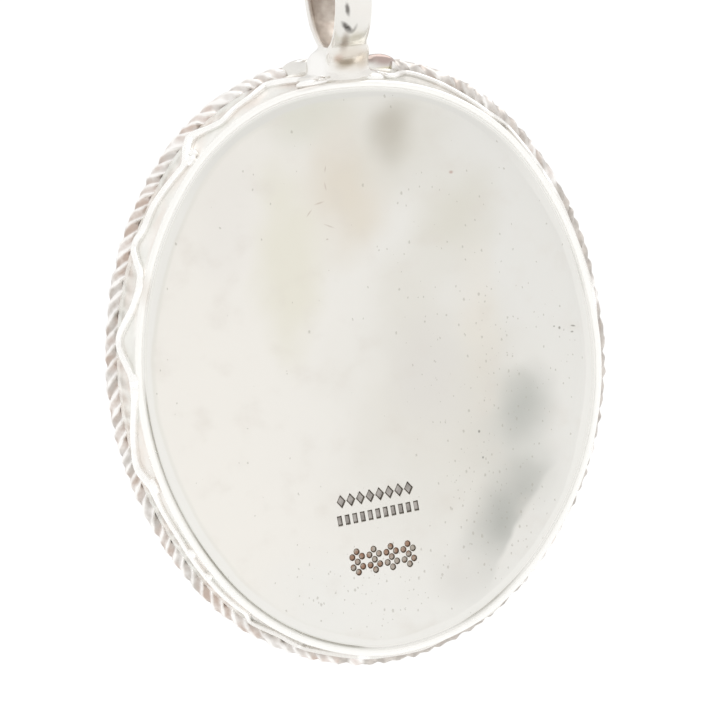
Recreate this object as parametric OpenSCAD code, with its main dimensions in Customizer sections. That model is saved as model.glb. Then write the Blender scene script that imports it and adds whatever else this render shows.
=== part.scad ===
// Oval silver pendant, hanging upright from the ring of its bail. The front faces -Y, the back +Y.
// The origin is the top of the bail's hole, where a chain carries it. Lengths are in millimetres.
// Pieces are drawn flat, as the back plate lies when the front is up: x across, y up the oval and z
// through the depth, from the back edge to the front. hang() then stands them up under the bail.

/* [Oval] */
// Radius of the top and bottom arcs of the back's outer edge
end_r = 12.4; // [12:0.1:13]
// How far the oval is stretched sideways from a circle of that radius, a third of its upward stretch
stretch = 1.5; // [1.3:0.1:1.7]

/* [Back plate] */
// Thickness of the plate at its edge
plate_edge = 0.5; // [0.4:0.05:0.52]
// Width of the bevelled shoulder round the plate
shoulder_w = 0.55; // [0.4:0.05:0.8]
// Height of the bevelled shoulder
shoulder_h = 0.3; // [0.2:0.02:0.4]
// How far the middle of the plate is pillowed out past the shoulder
pillow_h = 0.42; // [0.2:0.02:0.6]
// Width of the curved band between shoulder and middle
pillow_w = 5.85; // [4:0.05:8]

/* [Bezel wall] */
// Height of the wall from the back edge to the front ledge
wall_h = 3.68; // [3.4:0.01:4]
// Thickness of the rounded back edge
edge_d = 0.5; // [0.4:0.02:0.56]
// How far the wall flares out between back and front
flare = 0.38; // [0.2:0.02:0.5]
// How far the inner face lies inside the back edge's outer side
wall_in = 0.95; // [0.8:0.05:1.2]
// Groove left open round the back plate
groove = 0.1; // [0.06:0.01:0.14]

/* [Wave wire] */
// Diameter of the wire that zigzags round the wall
wave_d = 0.42; // [0.36:0.02:0.44]
// Rings along the wire
wave_rings = 320; // [240:10:360]

/* [Toothed rim] */
// Corner-to-corner width of the twisted square wire
tooth_d = 1.1; // [1:0.02:1.14]
// Distance between one tooth and the next along the rim
tooth_pitch = 0.88; // [0.8:0.02:1]
// How far the middle of the wire stands outside the back edge
tooth_out = 0.62; // [0.6:0.01:0.66]
// Angle at the top that the bail's pad takes, on each side
pad_angle = 14; // [14:0.5:16]

/* [Relief plaque] */
// Height of the plaque's dome over its edge
dome_h = 1.6; // [1.2:0.05:1.8]
// Width of the domed band round the flat middle
dome_w = 6.2; // [5.6:0.1:6.4]
// Thickness of the plaque's edge
rim_t = 0.7; // [0.6:0.02:0.9]
// Petals in the rosette
petals = 8; // [6:1:10]
// Beads in the border
beads = 72; // [48:4:80]

/* [Bail] */
// Radius of the hole that the chain passes through
hole_r = 3.5; // [3.2:0.1:4]
// Width of the bail's band
band_w = 2.2; // [1.8:0.05:2.3]
// Thickness of the bail's band at its middle
band_t = 0.6; // [0.5:0.02:0.7]
// Distance from the middle of the hole to the middle of the oval
bail_rise = 22.15; // [22.1:0.01:22.3]
// Depth of the bail's middle below the back edge
bail_depth = 1.69; // [1.6:0.01:1.8]
// Half width of the pad behind the bail
pad_w = 2.95; // [2.6:0.05:2.95]

/* [Hidden] */
$fn = 96;

// Clearance between two pieces that are seated on each other
seat = 0.03;
// Degrees by which the two halves of an end arc lap over each other
lap = 1;

// The oval is two end arcs and two side arcs on common tangents. Their centres stand on triangles
// with sides in the ratio 3:4:5, so that the arcs' ends meet exactly.
half_w = end_r + stretch;
half_h = end_r + 3 * stretch;
end_y = 3 * stretch;
side_x = 4 * stretch;
side_r = end_r + 5 * stretch;
arc_split = atan2(end_y, side_x);

// The centre line of the wave wire by depth: how far out it runs, and the wall's face behind it
wave_back_out = edge_d / 2;
wave_bend = 1;
wave_front = wall_h - wave_d / 2 - 0.02;
function wave_out(depth) = lookup(depth, [[wave_bend, wave_back_out], [wave_front, wave_back_out + flare]]);
wall_gap = wave_d / 2 + 0.02;

// Rings of corners for each tooth of the twisted wire
tooth_steps = 4;

// The plaque's hollow back, its border and its rosette
recess_in = 3.2;
recess_h = 0.8;
border_w = 1.3;
dome_edge = 0.45;
bead_r = 0.42;
boss_r = 1.2;
petal_start = 1.6;
petal_l = 3.3;
petal_w = 1.5;
crown_beads = 20;
crown_at = 5.55;
small_bead_r = 0.34;

// The bail's rounded outside, its foot and the pad behind it
band_crown = 0.2;
foot_w = 2.5;
foot_back = 0.62;
foot_lean = 0.35;
foot_skirt = 0.4;
foot_sunk = 1;
foot_lap = 0.1;
pad_t = 0.95;
pad_r = 4.5;
pad_rise = 1.25;

// Depths of the seats, from the back edge to the front
ledge_h = edge_d / 2 + plate_edge;
plaque_h = wall_h + seat;
tooth_h = wall_h + seat + tooth_d / 2;

silver = [0.93, 0.92, 0.89];
bright = [0.97, 0.96, 0.94];
shaded = [0.76, 0.71, 0.68];
tarnished = [0.68, 0.60, 0.55];

// A point of the oval, offset outwards, where its outward direction is at an angle from the top
function arc_centre(angle) =
    abs(cos(angle)) > sin(arc_split)
    ? [0, sign(cos(angle)) * end_y]
    : [-sign(sin(angle)) * side_x, 0];
function arc_r(angle) = abs(cos(angle)) > sin(arc_split) ? end_r : side_r;
function outward(angle) = [sin(angle), cos(angle)];
function oval_point(angle, out) = arc_centre(angle) + (arc_r(angle) + out) * outward(angle);

// Stands a flat piece up under the bail
module hang() {
    translate([0, bail_depth, -hole_r - bail_rise]) rotate([90, 0, 0]) children();
}

// Runs a profile round the oval: its x is the distance outside the back edge, its y the depth.
// Each quarter is half a side arc and half an end arc, which laps over its twin at the middle.
module oval_ring() {
    for (across = [0, 1]) {
        for (up = [0, 1]) {
            mirror([across, 0, 0]) mirror([0, up, 0]) {
                translate([-side_x, 0, 0])
                    rotate_extrude(angle = arc_split) translate([side_r, 0]) children();
                translate([0, end_y, 0]) rotate([0, 0, arc_split])
                    rotate_extrude(angle = 90 - arc_split + lap) translate([end_r, 0]) children();
            }
        }
    }
}

// The oval's own face, offset outwards
module oval_face(out) {
    intersection() {
        translate([-side_x, 0]) circle(side_r + out);
        translate([side_x, 0]) circle(side_r + out);
        square([2 * side_r, 2 * (end_y + (end_r + out) * sin(arc_split))], center = true);
    }
    for (side = [-1, 1]) {
        translate([0, side * end_y]) circle(end_r + out);
    }
}

module oval_slab(out, low, high) {
    translate([0, 0, low]) linear_extrude(high - low) oval_face(out);
}

// A band that curves up from its outer edge to a level middle, as on a pillow or a dome
module curved_band(outer, width, low, edge, rise) {
    curve_r = (width * width + rise * rise) / (2 * rise);
    intersection() {
        translate([outer - width, low]) square([width, edge + rise]);
        translate([outer - width, low + edge + rise - curve_r]) circle(curve_r, $fn = 720);
    }
}

// The whole solid under such a band, standing on low
module pillow(outer, width, low, edge, rise) {
    oval_ring() curved_band(outer, width, low, edge, rise);
    oval_slab(outer - width, low, low + edge + rise);
}

module back_plate() {
    plate_out = -edge_d - groove;
    back = ledge_h - seat;
    color(silver) hang() translate([0, 0, back]) mirror([0, 0, 1]) {
        oval_ring()
            polygon([
                [plate_out, 0],
                [plate_out, plate_edge],
                [plate_out - shoulder_w, plate_edge + shoulder_h],
                [plate_out - shoulder_w, 0],
            ]);
        pillow(plate_out - shoulder_w, pillow_w, 0, plate_edge + shoulder_h, pillow_h);
    }
}

// Outer face of the wall, from the back edge to the front, in steps of out and depth
wall_face = [
    [wave_back_out - wall_gap, edge_d / 2],
    [wave_back_out - wall_gap, wave_bend],
    [wave_back_out + flare - wall_gap, wave_front],
    [wave_back_out + flare - wall_gap, wall_h],
];

module bezel_wall() {
    color(shaded) hang() oval_ring() {
        translate([-edge_d / 2, edge_d / 2]) circle(d = edge_d, $fn = 48);
        polygon(concat(wall_face, [
            [-wall_in, wall_h],
            [-wall_in, ledge_h],
            [-edge_d, ledge_h],
            [-edge_d, edge_d / 2],
        ]));
    }
}

// Turns of the wave wire round the oval, hand bent and so uneven: angle from the top, depth
wave_turns = [
    [7.5, 1.0], [12, 2.0], [16, 2.7], [20, 3.3], [26, 2.3], [30, 2.2], [36, 1.5], [40, 2.5],
    [43, 3.35], [44.5, 3.3], [46, 2.9], [48.5, 2.0], [50.5, 1.25], [53, 1.5], [57, 2.2], [60, 2.6],
    [64, 2.5], [67, 3.45], [68.5, 2.8], [71.5, 0.4], [74, 0.3], [77.5, 1.3], [82, 3.2], [84, 3.2],
    [85.5, 2.3], [88.5, 0.4], [91, 0.1], [94, 1.0], [99, 2.3], [103, 3.1], [104.5, 3.2],
    [107.5, 1.5], [109, 1.7], [111, 1.9], [117, 1.5], [123, 1.75], [131, 1.8], [136, 1.5],
    [139, 1.1], [143, 3.2], [150, 1.3], [160, 3.3], [170, 0.8], [181, 3.2], [190, 1.0], [200, 3.3],
    [212, 0.8], [221, 3.3], [229, 0.8], [235, 2.4], [241, 0.8], [246.5, 3.4], [251.5, 0.8],
    [258, 2.9], [265, 2.6], [272, 3.4], [279, 0.7], [291, 3.4], [298.5, 0.8], [301.5, 2.2],
    [304, 0.9], [312, 3.4], [320, 0.9], [328, 2.0], [334, 2.9], [339, 3.4], [343, 3.4],
    [347.5, 1.4], [352.5, 2.2],
];
turn_ease = 1;
function wave_depth(angle) =
    (lookup(angle - turn_ease, wave_turns) + 2 * lookup(angle, wave_turns)
    + lookup(angle + turn_ease, wave_turns)) / 4;

// The wire's centre line and a ring of corners round it
function unit(v) = v / norm(v);
function wave_point(angle) =
    let (depth = wave_depth(angle), flat = oval_point(angle, wave_out(depth)))
    [flat[0], flat[1], depth];
function wire_ring(point, ahead, out, r, sides) =
    let (across = unit(out - (out * ahead) * ahead), along = cross(ahead, across))
    [for (i = [0 : sides - 1]) point + r * (cos(360 * i / sides) * across + sin(360 * i / sides) * along)];

// A closed skin over rings of corners, with flat ends
module skin(rings) {
    sides = len(rings[0]);
    last = len(rings) - 1;
    points = [for (ring = rings) for (corner = ring) corner];
    walls = [
        for (i = [0 : last - 1]) for (j = [0 : sides - 1])
            let (k = (j + 1) % sides)
            each [
                [i * sides + j, i * sides + k, (i + 1) * sides + k],
                [i * sides + j, (i + 1) * sides + k, (i + 1) * sides + j],
            ]
    ];
    ends = [[for (j = [sides - 1 : -1 : 0]) j], [for (j = [0 : sides - 1]) last * sides + j]];
    polyhedron(points, concat(walls, ends));
}

module wave_wire() {
    first = wave_turns[0][0];
    span = wave_turns[len(wave_turns) - 1][0] - first;
    step = span / wave_rings;
    color(bright) hang() skin([
        for (i = [0 : wave_rings])
            let (angle = first + i * step, side = outward(angle))
            wire_ring(
                wave_point(angle),
                unit(wave_point(angle + step) - wave_point(angle - step)),
                [side[0], side[1], 0],
                wave_d / 2,
                8
            )
    ]);
}

// Length of the run round the oval, up to an angle from the top, and the angle for a length
function run_table(out) =
    let (
        quarter = 90 - arc_split,
        end_run = (end_r + out) * quarter * PI / 180,
        side_run = (side_r + out) * 2 * arc_split * PI / 180
    )
    [
        [0, 0],
        [quarter, end_run],
        [180 - quarter, end_run + side_run],
        [180 + quarter, 3 * end_run + side_run],
        [360 - quarter, 3 * end_run + 2 * side_run],
        [360, 4 * end_run + 2 * side_run],
    ];
function run_at(angle, out) = lookup(angle, run_table(out));
function angle_at(run, out) = lookup(run, [for (row = run_table(out)) [row[1], row[0]]]);

module toothed_rim() {
    first = run_at(pad_angle, tooth_out);
    last = run_at(360 - pad_angle, tooth_out);
    rings = round((last - first) / tooth_pitch * tooth_steps);
    color(tarnished) hang() skin([
        for (i = [0 : rings])
            let (
                angle = angle_at(first + i * (last - first) / rings, tooth_out),
                middle = oval_point(angle, tooth_out),
                side = outward(angle)
            )
            [
                for (corner = [0 : 3])
                    let (
                        turn = 90 * (corner + i / tooth_steps),
                        reach = tooth_d / 2 * cos(turn)
                    )
                    [
                        middle[0] + reach * side[0],
                        middle[1] + reach * side[1],
                        tooth_h + tooth_d / 2 * sin(turn),
                    ]
            ]
    ]);
}

// A pointed round petal along x, from its stalk at the origin
module petal(length, width) {
    side_arc = (length * length + width * width) / (4 * width);
    translate([length / 2, 0, 0]) rotate([0, 90, 0]) rotate_extrude($fn = 32) intersection() {
        translate([width / 2 - side_arc, 0]) circle(side_arc, $fn = 180);
        translate([0, -length / 2]) square([width, length]);
    }
}

module rosette() {
    for (i = [0 : petals - 1]) {
        rotate([0, 0, 360 * i / petals]) translate([petal_start, 0, 0]) petal(petal_l, petal_w);
    }
    sphere(boss_r, $fn = 48);
    for (i = [0 : crown_beads - 1]) {
        rotate([0, 0, 360 * (i + 0.5) / crown_beads]) translate([crown_at, 0, 0]) sphere(small_bead_r, $fn = 24);
    }
    for (side = [-1, 1]) {
        translate([0, side * crown_at + side * 3 * small_bead_r, 0]) sphere(bead_r, $fn = 24);
    }
}

module relief_plaque() {
    bead_out = -border_w / 2;
    color(silver) hang() translate([0, 0, plaque_h]) {
        difference() {
            union() {
                oval_ring() translate([-border_w, 0]) square([border_w, rim_t]);
                pillow(-border_w, dome_w, 0, dome_edge, dome_h);
            }
            oval_slab(-recess_in, -1, recess_h);
        }
        for (i = [0 : beads - 1]) {
            spot = oval_point(angle_at(run_at(360, bead_out) * (i + 0.5) / beads, bead_out), bead_out);
            translate([spot[0], spot[1], rim_t]) sphere(bead_r, $fn = 24);
        }
        translate([0, 0, dome_edge + dome_h]) rosette();
    }
}

// The room that the wall and the plaque take under the bail
module bail_bed() {
    translate([0, end_y, 0]) rotate_extrude() polygon([
        [0, -1],
        [end_r + wall_face[0][0] + seat, -1],
        for (corner = wall_face) [end_r + corner[0] + seat, corner[1]],
        [end_r + wall_face[3][0] + seat, plaque_h],
        [end_r + seat, plaque_h],
        [end_r + seat, plaque_h + 2 * pad_t],
        [0, plaque_h + 2 * pad_t],
    ]);
}

// The foot narrows upwards both ways, so it is one tapered run crossed with another
module bail_foot() {
    foot_low = half_h - foot_sunk;
    foot_top = bail_rise - hole_r - band_t / 2;
    foot_front = plaque_h + foot_lap;
    intersection() {
        rotate([90, 0, 90]) linear_extrude(2 * foot_w, center = true) polygon([
            [foot_low, foot_back],
            [half_h + foot_skirt, foot_back],
            [foot_top, foot_back + foot_lean],
            [foot_top, foot_front - foot_lean],
            [half_h + 2 * foot_skirt, foot_front],
            [foot_low, foot_front],
        ]);
        linear_extrude(2 * plaque_h) polygon([
            [-foot_w / 2, foot_low],
            [foot_w / 2, foot_low],
            [foot_w / 2, half_h + foot_skirt],
            [band_w / 2, half_h + 2 * foot_skirt],
            [band_w / 2, foot_top],
            [-band_w / 2, foot_top],
            [-band_w / 2, half_h + 2 * foot_skirt],
            [-foot_w / 2, half_h + foot_skirt],
        ]);
    }
}

module bail_pad() {
    intersection() {
        translate([0, half_h + pad_rise - pad_r, plaque_h]) cylinder(r = pad_r, h = pad_t);
        translate([-pad_w, 0, 0]) cube([2 * pad_w, 2 * half_h, 2 * plaque_h]);
    }
}

module bail() {
    crown_r = (band_w * band_w / 4 + band_crown * band_crown) / (2 * band_crown);
    color(bright) {
        translate([0, 0, -hole_r]) rotate([0, 90, 0]) rotate_extrude() intersection() {
            translate([hole_r, -band_w / 2]) square([band_t, band_w]);
            translate([hole_r + band_t - crown_r, 0]) circle(crown_r, $fn = 180);
        }
        hang() difference() {
            union() {
                bail_foot();
                bail_pad();
            }
            bail_bed();
        }
    }
}

back_plate();
bezel_wall();
wave_wire();
toothed_rim();
relief_plaque();
bail();
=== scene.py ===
from math import asin, atan2, copysign, cos, degrees, exp, hypot, radians, sin, sqrt

import bpy
from mathutils import Matrix, Vector, noise


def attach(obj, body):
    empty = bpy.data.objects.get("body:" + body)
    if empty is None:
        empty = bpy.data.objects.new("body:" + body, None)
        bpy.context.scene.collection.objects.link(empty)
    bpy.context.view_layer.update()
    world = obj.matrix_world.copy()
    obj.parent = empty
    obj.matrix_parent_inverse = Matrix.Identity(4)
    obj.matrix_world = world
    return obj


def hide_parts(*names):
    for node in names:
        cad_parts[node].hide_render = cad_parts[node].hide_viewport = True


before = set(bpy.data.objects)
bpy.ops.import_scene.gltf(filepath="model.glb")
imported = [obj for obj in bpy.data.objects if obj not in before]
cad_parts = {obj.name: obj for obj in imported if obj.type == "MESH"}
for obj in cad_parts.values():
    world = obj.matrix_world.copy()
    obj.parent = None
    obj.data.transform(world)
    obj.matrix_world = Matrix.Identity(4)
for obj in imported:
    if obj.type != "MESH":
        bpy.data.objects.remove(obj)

# The same unevenness in every run
noise.seed_set(7)

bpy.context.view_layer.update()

# The oval pendant is made lying on the bench, in millimetres: x across, y up the oval and z through
# the depth, from the back edge to the front. stand_up() then hangs a finished piece in its place.
MM = 0.001
HANG = (0.0, 0.00169, -0.02565)

# Arcs of the oval: the end arcs' radius and centres, the side arcs' radius and centres
END_R = 12.4
END_Y = 4.5
SIDE_X = 6.0
SIDE_R = 19.9
SPLIT = degrees(atan2(END_Y, SIDE_X))
QUARTER = 90 - SPLIT

# Depths of the seats and sizes of the wires
WALL_H = 3.68
FRONT = 3.71
LEDGE = 0.72
WAVE_R = 0.245
WAVE_SUNK = 0.14
TOOTH_R = 0.58
TOOTH_OUT = 0.62
TOOTH_DEPTH = 4.26
TOOTH_PITCH = 0.88


def arc_at(angle):
    """Centre and radius of the oval's arc whose outward direction is at an angle from the top."""
    if abs(cos(radians(angle))) > sin(radians(SPLIT)):
        return (0.0, copysign(END_Y, cos(radians(angle)))), END_R
    return (-copysign(SIDE_X, sin(radians(angle))), 0.0), SIDE_R


def oval_point(angle, out):
    """A point of the oval, offset outwards."""
    (cx, cy), radius = arc_at(angle)
    turn = radians(angle)
    return Vector((cx + (radius + out) * sin(turn), cy + (radius + out) * cos(turn), 0.0))


def from_arc(x, y):
    """Way to a point of the bench from the centre of its arc of the oval, and that arc's radius."""
    for side in (1, -1):
        up = y - side * END_Y
        if side * up > 0 and abs(atan2(x, side * up)) < radians(QUARTER):
            return x, up, END_R
    return x + copysign(SIDE_X, x), y, SIDE_R


def outside_by(x, y):
    """How far outside the oval a point of the bench lies."""
    across, up, radius = from_arc(x, y)
    return hypot(across, up) - radius


def way_out(x, y):
    """Angle from the top of the outward direction at a point of the bench."""
    across, up = from_arc(x, y)[:2]
    return degrees(atan2(across, up)) % 360


def run_rows(out):
    """Pairs of angle and length of the run round the oval, offset outwards."""
    end = (END_R + out) * radians(QUARTER)
    side = (SIDE_R + out) * radians(2 * SPLIT)
    return [
        (0, 0), (QUARTER, end), (180 - QUARTER, end + side), (180 + QUARTER, 3 * end + side),
        (360 - QUARTER, 3 * end + 2 * side), (360, 4 * end + 2 * side),
    ]


def between(value, rows):
    """Straight-line reading of a table of pairs."""
    for (a, b), (c, d) in zip(rows, rows[1:]):
        if value <= c:
            return b + (d - b) * max(0.0, (value - a) / (c - a))
    return rows[-1][1]


def held(value):
    """A value, held between 0 and 1."""
    return min(1.0, max(0.0, value))


def angle_at(run, out):
    return between(run, [(length, angle) for angle, length in run_rows(out)])


def rest_hands():
    """Leaves edit mode and lets go of everything."""
    if bpy.context.object and bpy.context.object.mode != "OBJECT":
        bpy.ops.object.mode_set(mode="OBJECT")
    bpy.ops.object.select_all(action="DESELECT")


def take(piece):
    rest_hands()
    piece.select_set(True)
    bpy.context.view_layer.objects.active = piece


def open_up(piece, all_of_it=True):
    """Takes the piece into edit mode, with vertices as the way to select."""
    take(piece)
    bpy.ops.object.mode_set(mode="EDIT")
    bpy.ops.mesh.select_mode(type="VERT")
    bpy.ops.mesh.select_all(action="SELECT" if all_of_it else "DESELECT")


def pick(piece, test):
    """In edit mode: selects the vertices whose place passes the test."""
    bpy.ops.mesh.select_mode(type="VERT")
    bpy.ops.mesh.select_all(action="DESELECT")
    bpy.ops.object.mode_set(mode="OBJECT")
    for vertex in piece.data.vertices:
        vertex.select = test(vertex.co)
    bpy.ops.object.mode_set(mode="EDIT")


def name_it(name):
    piece = bpy.context.object
    piece.name = name
    piece.data.name = name
    return piece


def modify(piece, kind, **settings):
    """Adds a modifier, sets it and applies it."""
    take(piece)
    bpy.ops.object.modifier_add(type=kind)
    modifier = piece.modifiers[-1]
    for key, value in settings.items():
        setattr(modifier, key, value)
    bpy.ops.object.modifier_apply(modifier=modifier.name)


def fix_place(piece):
    """Puts the object's own place, turn and scale into its mesh."""
    take(piece)
    bpy.ops.object.transform_apply(location=True, rotation=True, scale=True)


def stretch(piece, factors):
    piece.scale = factors
    fix_place(piece)


def set_down(piece, place, turn=0.0):
    """Puts a piece in its place on the bench, turned about the depth."""
    piece.location = place
    piece.rotation_euler = (0, 0, turn)
    fix_place(piece)


def smooth(piece, angle):
    take(piece)
    bpy.ops.object.shade_smooth_by_angle(angle=radians(angle))


# The oval was bent by hand. How far its edge strays outwards: angle from the top, millimetres.
STRAY = [
    (0, -0.16), (8, -0.1), (20, 0.11), (33, 0.17), (45, 0.19), (60, 0.15), (80, -0.04), (100, -0.12),
    (118, -0.17), (130, -0.15), (140, -0.11), (150, -0.02), (160, 0.05), (170, 0.12), (180, 0.19),
    (190, 0.06), (200, 0.0), (210, -0.06), (220, -0.2), (230, -0.22), (240, -0.15), (250, -0.05),
    (270, -0.03), (280, -0.12), (290, 0.0), (300, 0.08), (310, 0.14), (320, 0.13), (330, 0.08),
    (340, 0.01), (350, -0.12), (360, -0.16),
]


def shape_by_hand(piece):
    """Lets the edge stray from the true oval, and the middle stay where it is."""
    for vertex in piece.data.vertices:
        x, y = vertex.co.x, vertex.co.y
        angle = way_out(x, y)
        stray = sum(between((angle + ease) % 360, STRAY) for ease in (-6, 0, 0, 6)) / 4
        hold = held((outside_by(x, y) + 7) / 6)
        stray *= hold * hold * (3 - 2 * hold)
        vertex.co.x = x + stray * sin(radians(angle))
        vertex.co.y = y + stray * cos(radians(angle))


def stand_up(piece):
    """Turns the piece from the bench up into its place under the bail, in metres."""
    fix_place(piece)
    piece.scale = (MM, MM, MM)
    piece.rotation_euler = (radians(90), 0, 0)
    piece.location = HANG
    fix_place(piece)


def copy_of(piece, name):
    """A copy with its own mesh."""
    take(piece)
    bpy.ops.object.duplicate(linked=False)
    return name_it(name)


def cut_with(piece, cutter, **settings):
    """Cuts another piece's room out of this one and puts the cutter away."""
    modify(piece, "BOOLEAN", operation="DIFFERENCE", solver="EXACT", object=cutter, **settings)
    bpy.data.objects.remove(cutter)


def make_ball(name, segments, rings, radius=1, **settings):
    rest_hands()
    bpy.ops.mesh.primitive_uv_sphere_add(segments=segments, ring_count=rings, radius=radius, **settings)
    return name_it(name)


def join(name, pieces):
    rest_hands()
    for piece in pieces:
        piece.select_set(True)
    bpy.context.view_layer.objects.active = pieces[0]
    bpy.ops.object.join()
    return name_it(name)


def draw_profile(name, points, closed=False):
    """Draws a chain of edges in the plane across the top of the oval, from out and depth."""
    start = Vector((0.0, END_Y + END_R + points[0][0], points[0][1]))
    rest_hands()
    bpy.ops.mesh.primitive_plane_add(size=0.1, location=start)
    piece = name_it(name)
    fix_place(piece)
    open_up(piece)
    bpy.ops.mesh.merge(type="CENTER")
    for (out, depth), (next_out, next_depth) in zip(points, points[1:]):
        step = (0.0, next_out - out, next_depth - depth)
        bpy.ops.mesh.extrude_region_move(TRANSFORM_OT_translate={"value": step})
    if closed:
        ends = (points[0], points[-1])
        pick(piece, lambda co: any(
            abs(co.y - END_Y - END_R - out) < 1e-4 and abs(co.z - depth) < 1e-4 for out, depth in ends))
        bpy.ops.mesh.edge_face_add()
    bpy.ops.mesh.select_all(action="SELECT")
    return piece


def run_round(piece):
    """Spins the selected profile round the arcs of the oval and closes the seam."""
    arcs = [
        (QUARTER, (0, END_Y, 0)), (2 * SPLIT, (-SIDE_X, 0, 0)), (2 * QUARTER, (0, -END_Y, 0)),
        (2 * SPLIT, (SIDE_X, 0, 0)), (QUARTER, (0, END_Y, 0)),
    ]
    for turn, centre in arcs:
        bpy.ops.mesh.spin(
            steps=round(turn), angle=radians(turn), center=centre, axis=(0, 0, 1))
    bpy.ops.mesh.select_all(action="SELECT")
    bpy.ops.mesh.remove_doubles(threshold=0.001)


def fill_loop(piece, out, depth):
    """Closes the loop that lies at an offset and a depth with one face."""
    pick(piece, lambda co: abs(co.z - depth) < 1e-3 and abs(outside_by(co.x, co.y) - out) < 1e-3)
    bpy.ops.mesh.edge_face_add()


def face_outwards(piece):
    open_up(piece)
    bpy.ops.mesh.normals_make_consistent(inside=False)
    rest_hands()


def store(piece, name, values):
    """Stores a number for each vertex."""
    layer = piece.data.attributes.new(name, "FLOAT", "POINT")
    layer.data.foreach_set("value", values)


def paint(piece, name, value):
    """Stores a number for each vertex, worked out from its place on the bench."""
    store(piece, name, [value(vertex.co) for vertex in piece.data.vertices])


def wire(name, points, radii, gauge=0.0, tilts=None, square=None):
    """A wire along points, as a curve with a round or a given section, made a mesh."""
    rest_hands()
    bpy.ops.curve.primitive_nurbs_path_add(location=(0, 0, 0))
    piece = name_it(name)
    curve = piece.data
    curve.splines.clear()
    spline = curve.splines.new("POLY")
    spline.points.add(len(points) - 1)
    for i, (point, place, radius) in enumerate(zip(spline.points, points, radii)):
        point.co = (*place, 1)
        point.radius = radius
        point.tilt = tilts[i] if tilts else 0.0
    curve.twist_mode = "Z_UP"
    curve.use_fill_caps = True
    if square:
        curve.bevel_mode = "OBJECT"
        curve.bevel_object = square
    else:
        curve.bevel_depth = gauge
        curve.bevel_resolution = 4
    take(piece)
    bpy.ops.object.convert(target="MESH")
    return bpy.context.object


# Back plate: a bevelled shoulder, a pillowed middle and generic punch marks low down

PLATE_OUT = -0.53
SHOULDER_IN = -1.25
PILLOW_IN = -7.0
PILLOW_R = 40.95
PLATE_BACK = -0.5

# Punch marks: the middle and lean of the two rows and of the flowers, and how deep they go
ROWS_AT = (0.32, -8.0)
ROWS_LEAN = -6.1
FLOWERS_AT = (0.13, -11.15)
FLOWERS_LEAN = -3.5
PUNCH_DEEP = 0.13

# How open and dark the joint round the plate is: angle from the top, share
SEAM_OPEN = [
    (0, 0), (88, 0), (94, 0.75), (105, 0.6), (117, 0.6), (121, 1), (126, 1), (131, 0.7), (150, 0.6),
    (158, 0.8), (170, 0.8), (174, 0.3), (178, 0.1), (198, 0.1), (205, 0.5), (214, 0.6), (222, 0.3),
    (228, 0), (278, 0), (281, 0.3), (288, 0.2), (292, 0), (360, 0),
]
# Depth of a filled joint, and how dark its line still is
SEAM_SHUT = 0.155
SEAM_LINE = 0.3

# How clear the painted shade along the crease inside the shoulder is: angle from the top, share
CREASE_SHADE = [(0, 0.7), (50, 0.7), (80, 1), (110, 1), (140, 0.4), (200, 0), (300, 0), (345, 0.3), (360, 0.7)]


def close_seam(piece):
    """Fills the joint round the plate with solder wherever it isn't open."""
    for vertex in piece.data.vertices:
        x, y, depth = vertex.co
        if -0.62 < outside_by(x, y) < -0.44 and SEAM_SHUT < depth < 0.24:
            shut = 1 - min(1.0, 1.5 * between(way_out(x, y), SEAM_OPEN))
            vertex.co.z = depth + (SEAM_SHUT - depth) * shut


def plate_depth(out):
    """Depth of the pillowed middle at an offset from the oval."""
    inwards = max(0.0, out - PILLOW_IN)
    return PLATE_BACK + PILLOW_R - sqrt(PILLOW_R ** 2 - inwards ** 2)


def make_plate_blank():
    profile = [(PLATE_OUT, LEDGE), (PLATE_OUT, 0.23), (-0.55, 0.205), (-0.6, 0.185)]
    profile += [(-0.8, 0.12), (-1.0, 0.02), (-1.1, -0.032), (-1.18, -0.066)]
    steps = 14
    for i in range(steps + 1):
        out = SHOULDER_IN + (PILLOW_IN - SHOULDER_IN) * i / steps
        profile.append((out, plate_depth(out)))
    piece = draw_profile("back_plate_sheet", profile)
    run_round(piece)
    fill_loop(piece, PILLOW_IN, PLATE_BACK)
    fill_loop(piece, PLATE_OUT, LEDGE)
    face_outwards(piece)
    return piece


def make_stamp(name, sides, width, height, turn=0):
    """A punch's tip: a blunt cone with its own number of sides, wide at the plate's back."""
    rest_hands()
    bpy.ops.mesh.primitive_cone_add(vertices=sides, radius1=0.7, radius2=0.35, depth=2)
    piece = name_it(name)
    piece.rotation_euler = (0, 0, radians(turn))
    fix_place(piece)
    stretch(piece, (width, height, PUNCH_DEEP))
    return piece


def strike(stamp, middle, lean, along, above):
    """A copy of a punch's tip, set into the plate at a place of its leaning row."""
    turn = radians(lean)
    x = middle[0] + along * cos(turn) - above * sin(turn)
    y = middle[1] + along * sin(turn) + above * cos(turn)
    one = copy_of(stamp, "struck_mark")
    set_down(one, (x, y, plate_depth(outside_by(x, y))), turn)
    return one


def spaced(count, step):
    """Places along a row, even about its middle."""
    return [step * (i - (count - 1) / 2) for i in range(count)]


def make_punch_marks():
    """Everything that the punches struck: a row of lozenges, a row of bars and four flowers."""
    lozenge = make_stamp("lozenge", 4, 0.53, 0.8)
    bar = make_stamp("bar", 4, 0.38, 0.84, 45)
    dot = make_stamp("dot", 10, 0.36, 0.4)
    marks = [strike(lozenge, ROWS_AT, ROWS_LEAN, along, 0.6) for along in spaced(8, 0.58)]
    marks += [strike(bar, ROWS_AT, ROWS_LEAN, along, -0.52) for along in spaced(11, 0.46)]
    for middle in spaced(4, 1.02):
        marks.append(strike(dot, FLOWERS_AT, FLOWERS_LEAN, middle, 0))
        for k in range(6):
            turn = radians(60 * k + 30)
            marks.append(strike(
                dot, FLOWERS_AT, FLOWERS_LEAN, middle + 0.33 * cos(turn), 0.6 * sin(turn)))
    for stamp in (lozenge, bar, dot):
        bpy.data.objects.remove(stamp)
    return join("punch_marks", marks)


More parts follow.
